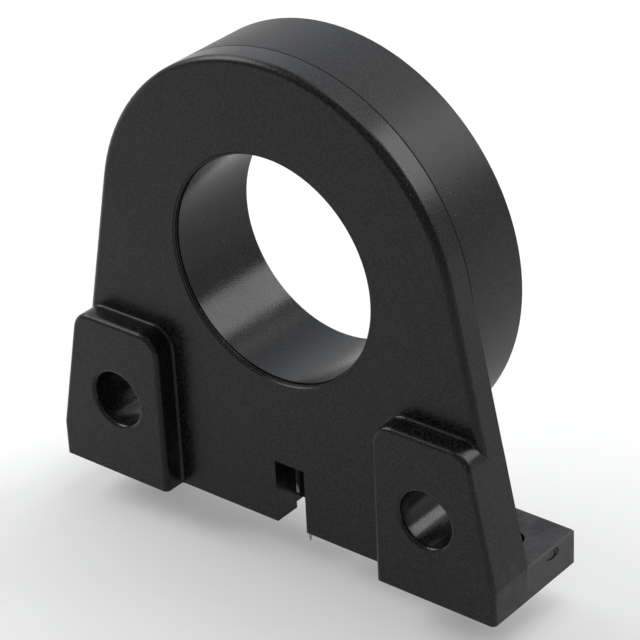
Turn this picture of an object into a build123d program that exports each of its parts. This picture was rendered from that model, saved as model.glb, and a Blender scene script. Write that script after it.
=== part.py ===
from build123d import *
import math
import os

# A ring-shaped current sensor for a cable or busbar. A moulded front cover and a moulded
# rear case close around a gapped magnetic core. A flat ceramic sensor stands in the core's
# gap and its three leads leave through a slot in the base. Two lugs on the cover take
# bolts from the front, and two feet on the case take screws from above.
# Millimetres. X runs along the base, +Y from front to back, +Z up. The origin is on the
# axis of the conductor bore, in the plane where the two shells meet.

os.makedirs("parts", exist_ok=True)

# Housing, outside
RING_R = 30.0           # ring, outside radius
BASE_DROP = 39.6        # bore axis down to the base plane
BASE_WIDTH = 76.0       # across the base
FOOT_THICK = 5.2        # feet, and the solid rail along the bottom of both shells
COVER_DEPTH = 4.2       # cover's face to the parting plane
CASE_DEPTH = 11.1       # parting plane to the back of the case
BODY_WIDTH = 37.0       # block under the ring that holds the sensor
STANDOFF = 1.0          # underside of the block above the base plane

# Housing, walls and edges
SHELL_WALL = 2.0        # side walls
FACE_WALL = 2.0         # front and back walls
COVER_EDGE_R = 1.0      # round on the cover's front edge
COVER_SET_IN = 0.02     # cover's sides inside the lugs' and feet's, so that a lug covers that round
CASE_BEVEL = 0.4        # along the case's back edge
FOOT_BEVEL = 0.3        # along the top of a foot
FOOT_CORNER_R = 0.4     # upright rear corner of a foot
TONGUE_THICK = 1.0      # tongue of the case inside the cover's wall
TONGUE_LONG = 1.0
JOINT_GAP = 0.1         # all round the tongue and the end of the tube

# Conductor bore
BORE_R = 16.4           # inside of the case's tube
TUBE_WALL = 1.8
BORE_BEVEL = 0.3        # at the tube's back edge
LIP_R = 16.8            # hole in the cover's face
LIP_DEEP = 0.6          # cover's lip in front of the tube's end
LIP_BEVEL = 0.15

# Lugs on the cover
LUG_THICK = 3.4         # in front of the cover's face
LUG_INNER = 18.6        # centre line to a lug's inner side
LUG_TOP = 24.7          # base plane up to a lug's top
LUG_CORNER_R = 3.2
LUG_EDGE_R = 0.7
LUG_ROOT_R = 0.4
LUG_HOLE_R = 4.1
LUG_HOLE_MOUTH = 0.65   # round at the mouth of a lug hole
LUG_HOLE_PITCH = 54.0
LUG_HOLE_RISE = 12.5    # base plane up to the hole's axis

# Screw holes in the feet
FOOT_HOLE_R = 2.15
FOOT_HOLE_PITCH = 64.0
FOOT_HOLE_BACK = 4.2    # parting plane back to the hole's axis
GATE_MARK_R = 0.7       # round moulding mark on the side of the right foot
GATE_MARK_DEEP = 0.15
GATE_MARK_BACK = 5.8
GATE_MARK_DROP = 1.05   # below the top of the foot

# Slot for the leads
SLOT_WIDTH = 5.1
SLOT_OFFSET = 1.45      # slot's middle beside the centre line
SLOT_TOP = 9.9          # base plane up to the top of the slot in the cover's face
SLOT_RIB = 1.5          # rib on each side of the slot, inside the shells
SLOT_RIB_GAP = 1.0      # top of the ribs to the core

# Core
CORE_FIT = 0.3          # core around the tube, all round
CORE_THICK = 8.7        # radial
CORE_WIDTH = 9.6        # along the bore
CORE_GAP = 3.2
SEAT_RIB_HIGH = 0.5     # ribs on the case's back wall that carry the core
SEAT_RIB_THICK = 1.4
SEAT_RIBS = 8
KEY_CLEAR = 0.3         # key on the tube that stands in the core's gap
KEY_HIGH = 1.0          # key above the core's inner radius
CUSHION_INSET = 0.5     # cushion ring's edges inside the core's

# Sensor
PLATE_THICK = 0.64
PLATE_WIDE = 9.3
PLATE_RISE = 3.3        # base plane up to the ceramic's lower edge
PLATE_HIGH = 15.4
CHIP_SIDE = 3.0
CHIP_THICK = 0.9
LEAD_PITCH = 2.54
LEAD_WIDE = 0.5
LEAD_THICK = 0.25
LEAD_DROP = 5.8         # lead tips below the base plane
LEAD_POINT = 0.9        # length of the tapered tip
LEAD_TIP_SHARE = 0.4    # tip's width and thickness, of the lead's own
CLIP_WIDE = 1.2         # fork that grips the ceramic
CLIP_HIGH = 2.0
SEAL_DROP = 1.1         # sealing compound below the ceramic's lower edge
SEAL_HIGH = 5.0

NEAR = 0.01             # two places closer than this are the same

# Places that follow from the sizes above
FACE_Y = -COVER_DEPTH
LUG_Y = FACE_Y - LUG_THICK
BASE_Z = -BASE_DROP
RAIL_Z = BASE_Z + FOOT_THICK
BODY_Z = BASE_Z + STANDOFF
INNER_FRONT_Y = FACE_Y + FACE_WALL
INNER_BACK_Y = CASE_DEPTH - FACE_WALL
TUBE_R = BORE_R + TUBE_WALL
TUBE_FRONT_Y = FACE_Y + LIP_DEEP + JOINT_GAP
SHOULDER = (BASE_WIDTH / 2 - COVER_SET_IN, RAIL_Z)
FLARE = math.atan2(RAIL_Z, SHOULDER[0]) + math.acos(RING_R / math.hypot(*SHOULDER))
SLOT_LEFT = SLOT_OFFSET - SLOT_WIDTH / 2
SLOT_RIGHT = SLOT_OFFSET + SLOT_WIDTH / 2
CORE_INNER = TUBE_R + CORE_FIT
CORE_OUTER = CORE_INNER + CORE_THICK
CORE_BACK_Y = INNER_BACK_Y - SEAT_RIB_HIGH
CORE_FRONT_Y = CORE_BACK_Y - CORE_WIDTH
CORE_MIDDLE_Y = (CORE_FRONT_Y + CORE_BACK_Y) / 2
RIB_TOP_Z = -CORE_OUTER - SLOT_RIB_GAP
PLATE_Z = BASE_Z + PLATE_RISE
CHIP_Z = -(CORE_INNER + CORE_OUTER) / 2
LEAD_TIP_Z = BASE_Z - LEAD_DROP


def slab(profile, front, back):
    """The profile, drawn in X and Z, as a solid from front to back along Y."""
    return extrude(Plane.XZ.offset(-back) * profile, amount=back - front)


def patch(left, right, bottom, top):
    """A rectangle in X and Z."""
    centre = Pos((left + right) / 2, (bottom + top) / 2)
    return centre * Rectangle(right - left, top - bottom)


def block(low, high):
    """A box between two corners."""
    size = [b - a for a, b in zip(low, high)]
    centre = [(a + b) / 2 for a, b in zip(low, high)]
    return Pos(*centre) * Box(*size)


def on_both_sides(solid):
    """The solid and its mirror image across the centre line."""
    return [solid, mirror(solid, about=Plane.YZ)]


def cover_outline():
    """Round top, straight sides that run down tangent to the ring, and upright ends."""
    x, z = SHOULDER
    touch = (RING_R * math.cos(FLARE), RING_R * math.sin(FLARE))
    other_touch = (-touch[0], touch[1])
    sides = Polyline(other_touch, (-x, z), (-x, BASE_Z), (x, BASE_Z), (x, z), touch)
    top = ThreePointArc(touch, (0, RING_R), other_touch)
    return make_face(sides.edges() + top.edges())


def case_outline(inset, bottom):
    """The ring and the block under it, inset all round, down to the given height."""
    half = BODY_WIDTH / 2 - inset
    return Circle(RING_R - inset) + patch(-half, half, bottom, 0)


def lug_outline():
    """The right lug: its outer side runs along the cover's own side, just outside it."""
    x, z = BASE_WIDTH / 2, RAIL_Z
    top = BASE_Z + LUG_TOP
    top_x = x - (top - z) * math.tan(FLARE)
    points = [(LUG_INNER, BASE_Z), (x, BASE_Z), (x, z), (top_x, top), (LUG_INNER, top)]
    sharp = make_face(Polyline(*points, close=True).edges())
    return fillet(sharp.vertices().sort_by(Axis.Y)[-2:], LUG_CORNER_R)


def front_edges(solid):
    """The edges of a solid's front face, without the one along the base."""
    edges = solid.faces().sort_by(Axis.Y)[0].edges()
    return edges.filter_by(lambda edge: edge.center().Z > BASE_Z + LUG_EDGE_R)


def lug():
    """The right lug, from its face down into the full depth of the cover."""
    pad = slab(lug_outline(), LUG_Y, 0)
    return fillet(front_edges(pad), LUG_EDGE_R)


def lug_roots(cover):
    """The edges where the lugs' sides and tops rise from the cover's face."""
    edges = cover.edges().filter_by_position(Axis.Y, FACE_Y - NEAR, FACE_Y + NEAR)
    across = (LUG_INNER - NEAR, SHOULDER[0] - LUG_CORNER_R)
    up = (BASE_Z + LUG_EDGE_R, BASE_Z + LUG_TOP + NEAR)
    beside = edges.filter_by(lambda edge: across[0] < abs(edge.center().X) < across[1])
    return beside.filter_by(lambda edge: up[0] < edge.center().Z < up[1])


def rim_edge(solid, radius, y):
    """The circle of a given radius round the bore's axis, in a plane across it."""
    circles = solid.edges().filter_by(GeomType.CIRCLE).filter_by_position(Axis.Y, y - NEAR, y + NEAR)
    return circles.filter_by(lambda edge: abs(edge.radius - radius) < NEAR)


def lug_hole():
    """The right lug's bolt hole, with its rounded mouth."""
    axis = Pos(LUG_HOLE_PITCH / 2, 0, BASE_Z + LUG_HOLE_RISE)
    hole = slab(Circle(LUG_HOLE_R), LUG_Y, 0)
    mouth_r = LUG_HOLE_R + LUG_HOLE_MOUTH
    mouth = slab(Circle(mouth_r), LUG_Y, LUG_Y + LUG_HOLE_MOUTH)
    ring = Plane.XY * Pos(mouth_r, LUG_Y + LUG_HOLE_MOUTH) * Circle(LUG_HOLE_MOUTH)
    mouth -= revolve(ring, Axis.Y)
    return axis * (hole + mouth)


def slot_ribs(front, back):
    """The two ribs beside the slot, inside a shell."""
    left = patch(SLOT_LEFT - SLOT_RIB, SLOT_LEFT, RAIL_Z, RIB_TOP_Z)
    right = patch(SLOT_RIGHT, SLOT_RIGHT + SLOT_RIB, RAIL_Z, RIB_TOP_Z)
    return [slab(left, front, back), slab(right, front, back)]


def front_cover():
    plate = slab(cover_outline(), FACE_Y, 0)
    plate = fillet(front_edges(plate), COVER_EDGE_R)
    cover = plate + on_both_sides(lug())
    cover = fillet(lug_roots(cover), LUG_ROOT_R)
    cover -= slab(case_outline(SHELL_WALL, RAIL_Z), INNER_FRONT_Y, 0)
    groove = case_outline(SHELL_WALL - TONGUE_THICK - JOINT_GAP, RAIL_Z)
    cover -= slab(groove, -TONGUE_LONG - JOINT_GAP, 0)
    cover += slot_ribs(INNER_FRONT_Y, 0)
    cover -= slab(patch(SLOT_LEFT, SLOT_RIGHT, BASE_Z, BASE_Z + SLOT_TOP), FACE_Y, INNER_FRONT_Y)
    cover -= slab(patch(SLOT_LEFT, SLOT_RIGHT, BASE_Z, RAIL_Z), FACE_Y, 0)
    cover -= slab(Circle(LIP_R), FACE_Y, 0)
    cover -= slab(Circle(TUBE_R + JOINT_GAP), FACE_Y + LIP_DEEP, 0)
    for hole in on_both_sides(lug_hole()):
        cover -= hole
    return chamfer(rim_edge(cover, LIP_R, FACE_Y), LIP_BEVEL)


def foot():
    """The right foot: a plate beside the block, with a rounded rear corner and bevelled top."""
    inner = BODY_WIDTH / 2 - SHELL_WALL
    outer = BASE_WIDTH / 2
    plan = Pos((inner + outer) / 2, CASE_DEPTH / 2) * Rectangle(outer - inner, CASE_DEPTH)
    plan = fillet(plan.vertices().sort_by(Axis.X)[-2:].sort_by(Axis.Y)[-1], FOOT_CORNER_R)
    plate = extrude(Pos(0, 0, BASE_Z) * plan, amount=FOOT_THICK)
    rim = plate.faces().sort_by(Axis.Z)[-1].edges()
    rim = rim.filter_by(lambda edge: edge.center().Y > NEAR and edge.center().X > inner + NEAR)
    plate = chamfer(rim, FOOT_BEVEL)
    hole = Pos(FOOT_HOLE_PITCH / 2, FOOT_HOLE_BACK, (BASE_Z + RAIL_Z) / 2)
    return plate - hole * Cylinder(FOOT_HOLE_R, FOOT_THICK)


def gate_mark():
    """The shallow round mark on the outer side of the right foot."""
    place = Pos(BASE_WIDTH / 2, GATE_MARK_BACK, RAIL_Z - GATE_MARK_DROP)
    return place * Rot(Y=90) * Cylinder(GATE_MARK_R, 2 * GATE_MARK_DEEP)


def seat_ribs():
    """Radial ribs on the back wall that carry the core."""
    reach = RING_R - SHELL_WALL
    ring = slab(Circle(reach) - Circle(TUBE_R), CORE_BACK_Y, INNER_BACK_Y)
    spoke = slab(patch(0, reach, -SEAT_RIB_THICK / 2, SEAT_RIB_THICK / 2), CORE_BACK_Y, INNER_BACK_Y)
    step = 360 / SEAT_RIBS
    spokes = [Rot(Y=step * (k + 0.5)) * spoke for k in range(SEAT_RIBS)]
    return [ring & one for one in spokes]


def core_key():
    """The key on the tube that keeps the core's gap at the bottom."""
    half = CORE_GAP / 2 - KEY_CLEAR
    return slab(patch(-half, half, -CORE_INNER - KEY_HIGH, -BORE_R - TUBE_WALL / 2), 0, INNER_BACK_Y)


def rear_case():
    shell = slab(case_outline(0, BODY_Z), 0, CASE_DEPTH)
    shell = chamfer(shell.faces().sort_by(Axis.Y)[-1].edges(), CASE_BEVEL)
    case = shell + on_both_sides(foot())
    case -= slab(case_outline(SHELL_WALL, RAIL_Z), 0, INNER_BACK_Y)
    tongue = case_outline(SHELL_WALL - TONGUE_THICK, RAIL_Z)
    tongue -= case_outline(SHELL_WALL, BODY_Z)
    case += slab(tongue, -TONGUE_LONG, 0)
    case += slab(Circle(TUBE_R), TUBE_FRONT_Y, CASE_DEPTH)
    case += slot_ribs(0, INNER_BACK_Y)
    case += seat_ribs()
    case += core_key()
    case -= slab(patch(SLOT_LEFT, SLOT_RIGHT, BASE_Z, RAIL_Z), 0, INNER_BACK_Y)
    case -= slab(Circle(BORE_R), TUBE_FRONT_Y, CASE_DEPTH)
    case -= gate_mark()
    return chamfer(rim_edge(case, BORE_R, CASE_DEPTH), BORE_BEVEL)


def flux_core():
    """A ring of magnetic material with a gap at the bottom."""
    ring = slab(Circle(CORE_OUTER) - Circle(CORE_INNER), CORE_FRONT_Y, CORE_BACK_Y)
    gap = patch(-CORE_GAP / 2, CORE_GAP / 2, -RING_R, 0)
    return ring - slab(gap, CORE_FRONT_Y, CORE_BACK_Y)


def core_cushion():
    """The soft ring that holds the core against its ribs."""
    ring = Circle(CORE_OUTER - CUSHION_INSET) - Circle(CORE_INNER + CUSHION_INSET)
    return slab(ring, INNER_FRONT_Y, CORE_FRONT_Y)


def sensor_plate():
    """The ceramic plate, upright in the plane of the core's gap."""
    low = (-PLATE_THICK / 2, CORE_MIDDLE_Y - PLATE_WIDE / 2, PLATE_Z)
    high = (PLATE_THICK / 2, CORE_MIDDLE_Y + PLATE_WIDE / 2, PLATE_Z + PLATE_HIGH)
    return block(low, high)


def hall_chip():
    """The sensing chip, on the plate's right side in the middle of the core's section."""
    half = CHIP_SIDE / 2
    low = (PLATE_THICK / 2, CORE_MIDDLE_Y - half, CHIP_Z - half)
    high = (PLATE_THICK / 2 + CHIP_THICK, CORE_MIDDLE_Y + half, CHIP_Z + half)
    return block(low, high)


def lead(place):
    """One lead: a fork on the plate's lower edge and a flat pin with a tapered tip."""
    y = CORE_MIDDLE_Y + place * LEAD_PITCH
    fork_x = PLATE_THICK / 2 + LEAD_THICK
    fork_z = PLATE_Z - LEAD_THICK
    fork = block((-fork_x, y - CLIP_WIDE / 2, fork_z), (fork_x, y + CLIP_WIDE / 2, PLATE_Z + CLIP_HIGH))
    fork -= sensor_plate()
    pin_end = LEAD_TIP_Z + LEAD_POINT
    half_x, half_y = LEAD_THICK / 2, LEAD_WIDE / 2
    pin = block((-half_x, y - half_y, pin_end), (half_x, y + half_y, fork_z))
    wide_end = Pos(0, y, pin_end) * Rectangle(LEAD_THICK, LEAD_WIDE)
    tip_end = Pos(0, y, LEAD_TIP_Z) * Rectangle(LEAD_THICK * LEAD_TIP_SHARE, LEAD_WIDE * LEAD_TIP_SHARE)
    return fork + pin + loft([wide_end, tip_end])


def lead_seal(enclosed):
    """Sealing compound in the slot, around the plate's lower edge and the leads."""
    bottom = PLATE_Z - SEAL_DROP
    fill = slab(patch(SLOT_LEFT, SLOT_RIGHT, bottom, bottom + SEAL_HIGH), 0, INNER_BACK_Y)
    for piece in enclosed:
        fill -= piece
    return fill


plate = sensor_plate()
leads = {"supply_lead": lead(-1), "ground_lead": lead(0), "output_lead": lead(1)}
nodes = {
    "front_cover": front_cover(),
    "rear_case": rear_case(),
    "flux_core": flux_core(),
    "core_cushion": core_cushion(),
    "sensor_plate": plate,
    "hall_chip": hall_chip(),
    "lead_seal": lead_seal([plate, *leads.values()]),
    **leads,
}
for name, shape in nodes.items():
    export_step(shape, f"parts/{name}.step")
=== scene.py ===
import math
import random
import bmesh
import bpy
from mathutils import Matrix, Vector


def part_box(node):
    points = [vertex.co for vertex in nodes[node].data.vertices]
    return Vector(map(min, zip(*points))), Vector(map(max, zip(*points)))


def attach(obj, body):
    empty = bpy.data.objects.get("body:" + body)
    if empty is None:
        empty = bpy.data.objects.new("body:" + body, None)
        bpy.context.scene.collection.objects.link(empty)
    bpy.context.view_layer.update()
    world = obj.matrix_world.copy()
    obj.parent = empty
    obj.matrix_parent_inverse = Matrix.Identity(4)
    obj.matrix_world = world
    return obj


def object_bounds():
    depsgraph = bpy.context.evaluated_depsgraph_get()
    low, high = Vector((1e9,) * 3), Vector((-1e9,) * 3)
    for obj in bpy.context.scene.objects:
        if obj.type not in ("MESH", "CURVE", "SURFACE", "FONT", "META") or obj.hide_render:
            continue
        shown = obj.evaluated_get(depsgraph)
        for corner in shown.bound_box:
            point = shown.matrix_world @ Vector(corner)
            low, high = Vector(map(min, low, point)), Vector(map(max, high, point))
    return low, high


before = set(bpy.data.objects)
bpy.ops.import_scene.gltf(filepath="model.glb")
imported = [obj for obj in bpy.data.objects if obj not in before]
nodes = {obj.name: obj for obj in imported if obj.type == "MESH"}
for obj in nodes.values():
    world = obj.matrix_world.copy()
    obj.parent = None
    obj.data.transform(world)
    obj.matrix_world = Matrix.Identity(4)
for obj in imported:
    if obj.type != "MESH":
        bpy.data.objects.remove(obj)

# The looks of the current sensor. Every length is in metres, in the part's own frame:
# X along the base, +Y to the back, +Z up, the origin on the bore's axis between the shells.
MM = 0.001
CAD_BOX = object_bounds()

# Places of the part that the finish follows
BASE_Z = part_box("front_cover")[0][2]
RING_R = CAD_BOX[1][2]
BORE_R = 16.8 * MM                      # with the bevel at its end
HOLE_X, HOLE_Z = 27.0 * MM, BASE_Z + 12.5 * MM
HOLE_R = 4.8 * MM                       # with the round at its mouth
PLATE_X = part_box("sensor_plate")[0][0]
SIDE_X = CAD_BOX[1][0]                  # outer side of the right foot
FLOOR_Z = CAD_BOX[0][2]                 # tips of the leads
FOOT_TOP_Z = BASE_Z + 5.2 * MM

# Round gate mark on that foot's side, and the torn ring round it
MARK_Y, MARK_Z = 5.8 * MM, -35.45 * MM
MARK_R = 0.7 * MM
MARK_DEEP = 0.15 * MM
CRACK_WIDE, CRACK_HIGH = 1.25 * MM, 0.66 * MM

# Thin ring behind the bevel of the cover's hole
INSERT_INNER_R, INSERT_OUTER_R = 16.58 * MM, 16.79 * MM
INSERT_FRONT_Y, INSERT_BACK_Y = -4.04 * MM, -3.60 * MM
INSERT_EDGE = 0.05 * MM                 # its rounded front edge

# Finish of the plastic
SHINE = 0.235
# SEAM sets the half width of the shade painted into the colour along the gap between the shells.
SEAM = 0.13 * MM                        # half width of the gap between the shells
SEAM_ROOM = 0.2 * MM                    # how far from the outer side a point still counts as on it
SHARP_ANGLE = math.radians(40)          # edges of the added pieces that turn more stay sharp

# Light
FLOOR_GLOW = 0.26                       # added to the floor where it is seen or mirrored
WORLD_LIGHT = 0.14
BACKDROP = 0.34                         # the world where it is seen or mirrored
FLOOR_HALF = 4.0
LAMP_DISTANCE = 0.9


# Node graphs

class Graph:
    """A short way to write a material's nodes."""

    def __init__(self, name):
        self.material = bpy.data.materials.new(name)
        self.material.use_nodes = True
        self.tree = self.material.node_tree
        self.tree.nodes.clear()
        self.out = self.add("ShaderNodeOutputMaterial")
        self.shader = self.add("ShaderNodeBsdfPrincipled")
        self.link(self.shader.outputs[0], self.out.inputs["Surface"])
        coordinates = self.add("ShaderNodeTexCoord")
        self.place, self.normal = coordinates.outputs["Object"], coordinates.outputs["Normal"]

    def add(self, kind):
        return self.tree.nodes.new(kind)

    def link(self, source, target):
        if isinstance(source, (int, float)):
            target.default_value = source
        elif isinstance(source, tuple):
            target.default_value = (*source, 1.0)
        else:
            self.tree.links.new(source, target)

    def set(self, **inputs):
        for name, value in inputs.items():
            self.link(value, self.shader.inputs[name.replace("_", " ")])

    def noise(self, scale, detail=2.0, rough=0.5, where=None):
        n = self.add("ShaderNodeTexNoise")
        self.link(where or self.place, n.inputs["Vector"])
        self.link(scale, n.inputs["Scale"])
        self.link(detail, n.inputs["Detail"])
        self.link(rough, n.inputs["Roughness"])
        return n.outputs["Fac"]

    def cells(self, scale):
        n = self.add("ShaderNodeTexVoronoi")
        self.link(self.place, n.inputs["Vector"])
        self.link(scale, n.inputs["Scale"])
        return n.outputs["Distance"]

    def math(self, kind, a, b=0.0):
        n = self.add("ShaderNodeMath")
        n.operation = kind
        self.link(a, n.inputs[0])
        self.link(b, n.inputs[1])
        return n.outputs[0]

    def plus(self, a, b):
        return self.math("ADD", a, b)

    def times(self, a, b):
        return self.math("MULTIPLY", a, b)

    def remap(self, value, low, high, to_low=0.0, to_high=1.0):
        n = self.add("ShaderNodeMapRange")
        for source, socket in zip((value, low, high, to_low, to_high), n.inputs[:5]):
            self.link(source, socket)
        return n.outputs[0]

    def mix(self, factor, a, b):
        n = self.add("ShaderNodeMix")
        n.data_type = "RGBA"
        self.link(factor, n.inputs[0])
        self.link(a, n.inputs[6])
        self.link(b, n.inputs[7])
        return n.outputs[2]

    def stretch(self, x, y, z):
        n = self.add("ShaderNodeMapping")
        n.inputs["Scale"].default_value = (x, y, z)
        self.link(self.place, n.inputs["Vector"])
        return n.outputs[0]

    def split(self, vector):
        n = self.add("ShaderNodeSeparateXYZ")
        self.link(vector, n.inputs[0])
        return n.outputs[0], n.outputs[1], n.outputs[2]

    def bump(self, height, strength, distance, under=None):
        n = self.add("ShaderNodeBump")
        self.link(strength, n.inputs["Strength"])
        self.link(distance, n.inputs["Distance"])
        self.link(height, n.inputs["Height"])
        if under is not None:
            self.link(under, n.inputs["Normal"])
        return n.outputs[0]


# Materials

def painted_gap_shade(g, y, out):
    """1 in the fine gap where the two shells meet round the ring, 0 elsewhere. The colour is darkened there
    as painted shade inside the gap.
    """
    line = g.remap(g.math("ABSOLUTE", y), 0.5 * SEAM, SEAM, 1.0, 0.0)
    outside = g.math("GREATER_THAN", out, RING_R - SEAM_ROOM)
    inside = g.math("LESS_THAN", out, RING_R + SEAM_ROOM)
    return g.times(line, g.times(outside, inside))


def painted_ridge_highlight(g, x, y, z):
    """1 on the fine ridge where the two shells meet at the end of a foot, which is painted pale as a
    highlight of the light its edge catches.
    """
    line = g.remap(g.math("ABSOLUTE", y), 0.04 * MM, 0.1 * MM, 1.0, 0.0)
    end = g.math("GREATER_THAN", g.math("ABSOLUTE", x), SIDE_X - SEAM_ROOM)
    low = g.math("LESS_THAN", z, FOOT_TOP_Z)
    return g.times(line, g.times(end, low))


def gate_crack(g, x, y, z):
    """1 in the torn ring round the gate mark on the right foot, open towards its upper front. It dents the
    bump, and the colour there is darkened as painted shade inside the crack.
    """
    across = g.times(g.plus(y, -MARK_Y), 1.0 / CRACK_WIDE)
    up = g.times(g.plus(z, -MARK_Z), 1.0 / CRACK_HIGH)
    away = g.math("SQRT", g.plus(g.times(across, across), g.times(up, up)))
    away = g.plus(away, g.times(g.plus(g.noise(1500.0, 3.0, 0.7), -0.5), 0.7))
    ring = g.remap(g.math("ABSOLUTE", g.plus(away, -1.0)), 0.07, 0.19, 1.0, 0.0)
    closed = g.remap(g.plus(up, g.times(across, -0.8)), 0.35, 0.75, 1.0, 0.0)
    on_side = g.math("GREATER_THAN", x, SIDE_X - MARK_DEEP - SEAM_ROOM)
    return g.times(g.times(ring, closed), on_side)


def handled(g, y, z):
    """1 on the low outer sides and feet tops, where handling has scuffed the grain."""
    side, _, up = g.split(g.normal)
    outward = g.math("GREATER_THAN", g.math("MAXIMUM", g.math("ABSOLUTE", side), up), 0.6)
    low = g.remap(z, -0.029, -0.035)
    on_side = g.math("GREATER_THAN", g.math("ABSOLUTE", side), 0.6)
    more = g.times(g.math("GREATER_THAN", y, 0.0), g.remap(on_side, 0.0, 1.0, 0.06, 0.18))
    cloud = g.plus(g.noise(300.0, 5.0, 0.7), more)
    return g.times(outward, g.times(low, g.remap(cloud, 0.44, 0.70)))


def polished(g, x, z, out):
    """1 in the bore and the lug holes, which polished cores of the mould have formed."""
    across = g.plus(g.math("ABSOLUTE", x), -HOLE_X)
    up = g.plus(z, -HOLE_Z)
    from_axis = g.math("SQRT", g.plus(g.times(across, across), g.times(up, up)))
    in_hole = g.math("LESS_THAN", from_axis, HOLE_R)
    return g.math("MAXIMUM", in_hole, g.math("LESS_THAN", out, BORE_R))


def coarse(g, y, out):
    """1 on the rear case's outer wall, whose grain is coarser than the cover's."""
    return g.times(g.math("GREATER_THAN", y, 0.0), g.math("GREATER_THAN", out, RING_R - SEAM_ROOM))


def black_tone(g, grain, cloud, scuff):
    """The plastic's own colour: black in the hollows of the grain, greyer on scuffs, with specks of dust."""
    tone = g.mix(g.remap(cloud, 0.35, 0.65), (0.0010, 0.0010, 0.0011), (0.0030, 0.0030, 0.0032))
    tone = g.mix(g.remap(grain, 0.45, 0.65), tone, (0.022, 0.022, 0.023))
    tone = g.mix(g.times(scuff, 0.7), tone, (0.066, 0.066, 0.068))
    dust = g.remap(g.cells(520.0), 0.03, 0.065, 1.0, 0.0)
    dust = g.times(dust, g.remap(g.noise(160.0, 1.0), 0.54, 0.59))
    return g.mix(g.times(dust, 0.8), tone, (0.16, 0.16, 0.16))


def moulded_black():
    """Satin black moulded plastic: eroded grain, clouds, dust, scuffs low down, and the parting line, with
    painted shade in its gap and in the gate mark's torn ring, and a painted highlight on its ridge at the
    feet.
    """
    g = Graph("moulded_black")
    x, y, z = g.split(g.place)
    out = g.math("SQRT", g.plus(g.times(x, x), g.times(z, z)))
    grain = g.noise(4400.0, 2.0, 0.6)
    cloud = g.noise(70.0, 3.0, 0.5)
    scuff = handled(g, y, z)
    crack = gate_crack(g, x, y, z)
    # Painted shade: the seam's gap and the gate mark's torn ring are darkened to near black for the shade
    # inside them.
    dark = g.math("MAXIMUM", painted_gap_shade(g, y, out), crack)
    tone = g.mix(dark, black_tone(g, grain, cloud, scuff), (0.001, 0.001, 0.001))
    # Painted highlight: a pale line along the parting ridge at the end of each foot, for the light its edge
    # catches.
    g.set(Base_Color=g.mix(painted_ridge_highlight(g, x, y, z), tone, (0.060, 0.060, 0.060)))
    wear = g.plus(grain, g.plus(g.times(cloud, 0.5), g.times(scuff, 0.25)))
    outer = coarse(g, y, out)
    rough = g.plus(g.remap(wear, 0.45, 1.05, 0.24, 0.36), g.times(outer, 0.10))
    rough = g.plus(rough, g.times(polished(g, x, z, out), -0.09))
    g.set(Roughness=g.plus(rough, g.times(dark, 0.7)), Specular_IOR_Level=SHINE)
    torn = g.bump(g.times(crack, -1.0), 0.8, 0.06 * MM)
    g.set(Normal=g.bump(grain, g.remap(outer, 0.0, 1.0, 0.4, 0.8), 0.03 * MM, torn))
    return g.material


def tinned_metal():
    """Tin-plated lead frame, drawn along its length and slightly tarnished."""
    g = Graph("tinned_metal")
    streak = g.noise(900.0, 3.0, 0.6, g.stretch(6.0, 6.0, 0.6))
    stain = g.remap(g.noise(700.0, 3.0, 0.6), 0.45, 0.65)
    bright = g.mix(streak, (0.46, 0.42, 0.37), (0.62, 0.58, 0.52))
    g.set(Base_Color=g.mix(g.times(stain, 0.6), bright, (0.30, 0.22, 0.16)))
    g.set(Metallic=1.0, Roughness=g.remap(streak, 0.3, 0.7, 0.28, 0.42))
    g.set(Normal=g.bump(streak, 0.25, 0.02 * MM))
    return g.material


def ceramic_white():
    """Fired alumina. A dark coat covers its broad sides and runs over its edges, which stay bare
    along one corner and at the foot of the plate."""
    g = Graph("ceramic_white")
    speck = g.noise(3000.0, 4.0, 0.6)
    bare = g.mix(speck, (0.50, 0.48, 0.44), (0.66, 0.64, 0.60))
    coat = g.mix(g.noise(700.0), (0.009, 0.006, 0.006), (0.020, 0.013, 0.012))
    x, _, z = g.split(g.place)
    bare_width = g.remap(z, -34.7 * MM, -35.9 * MM, 0.10 * MM, 0.50 * MM)
    covered = g.math("GREATER_THAN", g.plus(x, -PLATE_X), bare_width)
    thin = g.remap(z, -34.9 * MM, -35.2 * MM, 0.85, 0.0)
    broad = g.math("GREATER_THAN", g.math("ABSOLUTE", g.split(g.normal)[0]), 0.5)
    coated = g.math("MAXIMUM", broad, g.math("MAXIMUM", covered, thin))
    g.set(Base_Color=g.mix(coated, bare, coat))
    g.set(Roughness=g.remap(speck, 0.3, 0.7, 0.45, 0.60))
    g.set(Normal=g.bump(speck, 0.2, 0.02 * MM))
    return g.material


def seal_compound():
    """Dark brown casting compound with a soft meniscus ripple."""
    g = Graph("seal_compound")
    wave = g.noise(500.0, 2.0, 0.4)
    g.set(Base_Color=g.mix(wave, (0.014, 0.009, 0.009), (0.030, 0.018, 0.017)))
    g.set(Roughness=g.remap(wave, 0.3, 0.7, 0.22, 0.36))
    g.set(Normal=g.bump(wave, 0.5, 0.2 * MM))
    return g.material


def magnet_grey():
    """Sintered core material, dull and slightly porous."""
    g = Graph("magnet_grey")
    pore = g.noise(2500.0, 4.0, 0.7)
    g.set(Base_Color=g.mix(pore, (0.055, 0.055, 0.060), (0.110, 0.108, 0.112)))
    g.set(Roughness=g.remap(pore, 0.3, 0.7, 0.5, 0.7))
    g.set(Normal=g.bump(pore, 0.4, 0.04 * MM))
    return g.material


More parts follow.
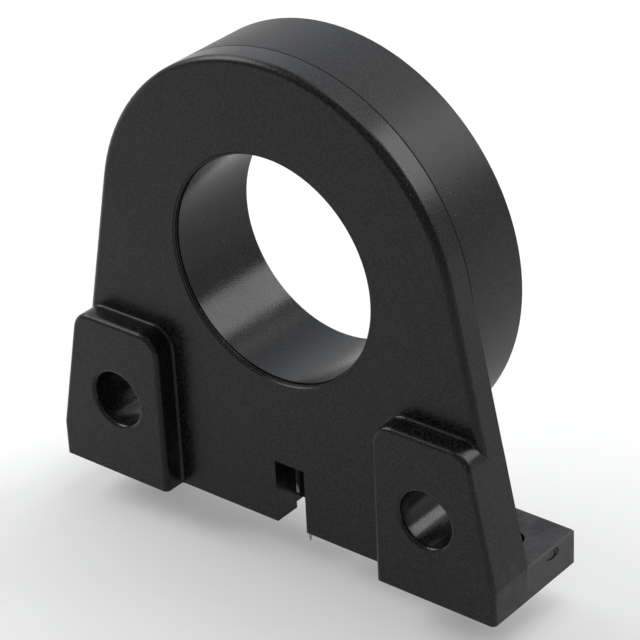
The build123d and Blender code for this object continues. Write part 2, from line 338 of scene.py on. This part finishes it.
def silicone_red():
    """Soft silicone ring, cast with a fine closed-cell skin."""
    g = Graph("silicone_red")
    pore = g.cells(2600.0)
    g.set(Base_Color=g.mix(pore, (0.20, 0.075, 0.050), (0.32, 0.130, 0.085)))
    g.set(Roughness=g.remap(pore, 0.0, 0.8, 0.55, 0.75))
    g.set(Normal=g.bump(pore, 0.6, 0.1 * MM))
    return g.material


def chip_black():
    """Moulded chip body."""
    g = Graph("chip_black")
    grain = g.noise(6000.0, 3.0, 0.6)
    g.set(Base_Color=g.mix(grain, (0.012, 0.012, 0.013), (0.026, 0.026, 0.027)))
    g.set(Roughness=g.remap(grain, 0.3, 0.7, 0.45, 0.6))
    g.set(Normal=g.bump(grain, 0.3, 0.02 * MM))
    return g.material


def dress(names, material):
    for name in names:
        mesh = nodes[name].data
        mesh.materials.clear()
        mesh.materials.append(material)


# Pieces that the part's solids leave to the scene

def gate_stub(material):
    """The torn stub of the moulding gate, in the round mark on the right foot's side."""
    rings, spokes = 7, 28
    chance = random.Random(5)
    mesh = bmesh.new()
    lumps = [(chance.uniform(0, math.tau), chance.uniform(0.5, 1.0)) for _ in range(5)]
    floor_x = SIDE_X - MARK_DEEP
    centre = mesh.verts.new((floor_x + 0.8 * MARK_DEEP, MARK_Y, MARK_Z))
    previous = None
    for ring in range(1, rings + 1):
        share = ring / rings
        row = []
        for spoke in range(spokes):
            turn = math.tau * spoke / spokes
            waves = (size * math.cos((k + 2) * turn + phase) for k, (phase, size) in enumerate(lumps))
            ragged = sum(waves)
            radius = 0.86 * MARK_R * share * (1.0 + 0.035 * ragged)
            rise = (1.0 - share ** 4) * (0.74 + 0.05 * ragged) + 0.07 * chance.uniform(-1.0, 1.0)
            x = floor_x + MARK_DEEP * min(max(rise, 0.02), 0.98)
            y, z = MARK_Y + radius * math.cos(turn), MARK_Z + radius * math.sin(turn)
            row.append(mesh.verts.new((x, y, z)))
        for k in range(spokes):
            following = (k + 1) % spokes
            if previous is None:
                mesh.faces.new((centre, row[k], row[following]))
            else:
                mesh.faces.new((previous[k], row[k], row[following], previous[following]))
        previous = row
    place_piece("gate_stub", mesh, material)


def tube_insert(material):
    """The thin ring in the cover's hole, behind its bevel, that closes the step before the bore."""
    spokes = 160
    profile = [
        (INSERT_INNER_R, INSERT_BACK_Y),
        (INSERT_INNER_R, INSERT_FRONT_Y + 0.8 * INSERT_EDGE),
        (INSERT_INNER_R + 0.4 * INSERT_EDGE, INSERT_FRONT_Y + 0.2 * INSERT_EDGE),
        (INSERT_INNER_R + INSERT_EDGE, INSERT_FRONT_Y),
        (INSERT_OUTER_R, INSERT_FRONT_Y),
        (INSERT_OUTER_R, INSERT_BACK_Y),
    ]
    mesh = bmesh.new()
    loops = []
    for spoke in range(spokes):
        turn = math.tau * spoke / spokes
        across, up = math.sin(turn), math.cos(turn)
        loops.append([mesh.verts.new((radius * across, y, radius * up)) for radius, y in profile])
    for k in range(spokes):
        here, there = loops[k], loops[(k + 1) % spokes]
        for i in range(len(profile)):
            j = (i + 1) % len(profile)
            mesh.faces.new((here[i], here[j], there[j], there[i]))
    bmesh.ops.recalc_face_normals(mesh, faces=mesh.faces)
    place_piece("tube_insert", mesh, material)


def place_piece(name, mesh, material):
    """Makes the piece out of its mesh. It rides on the part's one body."""
    data = bpy.data.meshes.new(name)
    mesh.to_mesh(data)
    mesh.free()
    data.shade_smooth()
    data.set_sharp_from_angle(angle=SHARP_ANGLE)
    data.materials.append(material)
    piece = bpy.data.objects.new(name, data)
    bpy.context.scene.collection.objects.link(piece)
    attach(piece, "root")


# Floor, light and camera

def background_rays(tree):
    """1 for the rays that see the background: straight, in a reflection or through glass."""
    path = tree.nodes.new("ShaderNodeLightPath")
    seen = path.outputs["Is Camera Ray"]
    for kind in ("Is Glossy Ray", "Is Transmission Ray"):
        larger = tree.nodes.new("ShaderNodeMath")
        larger.operation = "MAXIMUM"
        tree.links.new(seen, larger.inputs[0])
        tree.links.new(path.outputs[kind], larger.inputs[1])
        seen = larger.outputs[0]
    return seen


def floor_white():
    """Pale floor. It looks white to the camera and in reflections, and keeps the shadow."""
    g = Graph("floor_white")
    g.set(Base_Color=(0.65, 0.65, 0.65), Roughness=0.9, Specular_IOR_Level=0.0)
    glow = g.add("ShaderNodeEmission")
    g.link(g.times(background_rays(g.tree), FLOOR_GLOW), glow.inputs["Strength"])
    both = g.add("ShaderNodeAddShader")
    g.link(g.shader.outputs[0], both.inputs[0])
    g.link(glow.outputs[0], both.inputs[1])
    g.link(both.outputs[0], g.out.inputs["Surface"])
    return g.material


def floor():
    signs = ((-1, -1), (1, -1), (1, 1), (-1, 1))
    corners = [(x * FLOOR_HALF, y * FLOOR_HALF, FLOOR_Z) for x, y in signs]
    mesh = bpy.data.meshes.new("floor")
    mesh.from_pydata(corners, [], [(0, 1, 2, 3)])
    mesh.materials.append(floor_white())
    plane = bpy.data.objects.new("floor", mesh)
    bpy.context.scene.collection.objects.link(plane)


def softbox(name, azimuth, elevation, width, height, power, lean=0.0, tint=(1.0, 1.0, 1.0)):
    """A rectangular lamp that faces the ring. Azimuth 0 is in front, 90 is at +X. Its height runs
    upwards, leaning by the given angle towards a larger azimuth."""
    data = bpy.data.lights.new(name, "AREA")
    data.shape = "RECTANGLE"
    data.size, data.size_y = width, height
    data.energy, data.color = power, tint
    lamp = bpy.data.objects.new(name, data)
    bpy.context.scene.collection.objects.link(lamp)
    a, e, tilt = (math.radians(angle) for angle in (azimuth, elevation, lean))
    out = Vector((math.cos(e) * math.sin(a), -math.cos(e) * math.cos(a), math.sin(e)))
    onward = Vector((math.cos(a), math.sin(a), 0.0))
    upward = out.cross(onward)
    tall = upward * math.cos(tilt) + onward * math.sin(tilt)
    wide = tall.cross(out)
    turn = Matrix((wide, tall, out)).transposed()
    lamp.matrix_world = Matrix.Translation(out * LAMP_DISTANCE) @ turn.to_4x4()


def studio():
    world = bpy.data.worlds.new("studio")
    bpy.context.scene.world = world
    world.use_nodes = True
    tree = world.node_tree
    around = tree.nodes["Background"]
    around.inputs["Color"].default_value = (1.0, 1.0, 1.0, 1.0)
    strength = tree.nodes.new("ShaderNodeMapRange")
    strength.inputs["To Min"].default_value = WORLD_LIGHT
    strength.inputs["To Max"].default_value = BACKDROP
    tree.links.new(background_rays(tree), strength.inputs["Value"])
    tree.links.new(strength.outputs[0], around.inputs["Strength"])
    softbox("key", 147.3, 32.7, 0.30, 0.46, 3.0, lean=42)
    softbox("top", 155, 70, 0.60, 0.60, 3.0)
    softbox("rear", 198, 34, 1.10, 0.55, 1.8, tint=(0.90, 0.94, 1.0))
    softbox("rear_low", 228, 4, 0.50, 0.30, 0.3)
    softbox("left", 288, 36, 0.54, 0.42, 5.0)
    softbox("left_rear", 252, 38, 0.36, 0.44, 1.1, tint=(0.90, 0.94, 1.0))
    softbox("front", 30, 38, 0.60, 0.50, 0.3)
    softbox("right_low", 130, 6, 0.42, 0.34, 0.25)


def camera():
    data = bpy.data.cameras.new("camera")
    data.sensor_width, data.lens = 36.0, 154.067
    data.clip_start, data.clip_end = 0.01, 10.0
    view = bpy.data.objects.new("camera", data)
    bpy.context.scene.collection.objects.link(view)
    view.location = (0.20818089, -0.24331290, 0.17049930)
    view.rotation_mode = "QUATERNION"
    view.rotation_quaternion = (0.81835036, 0.47032921, 0.18408638, 0.27423591)
    bpy.context.scene.camera = view


PLASTIC = moulded_black()
dress(["front_cover", "rear_case"], PLASTIC)
dress(["supply_lead", "ground_lead", "output_lead"], tinned_metal())
dress(["sensor_plate"], ceramic_white())
dress(["lead_seal"], seal_compound())
dress(["flux_core"], magnet_grey())
dress(["core_cushion"], silicone_red())
dress(["hall_chip"], chip_black())
gate_stub(PLASTIC)
tube_insert(PLASTIC)
floor()
studio()
camera()
bpy.context.scene.view_settings.view_transform = "Standard"
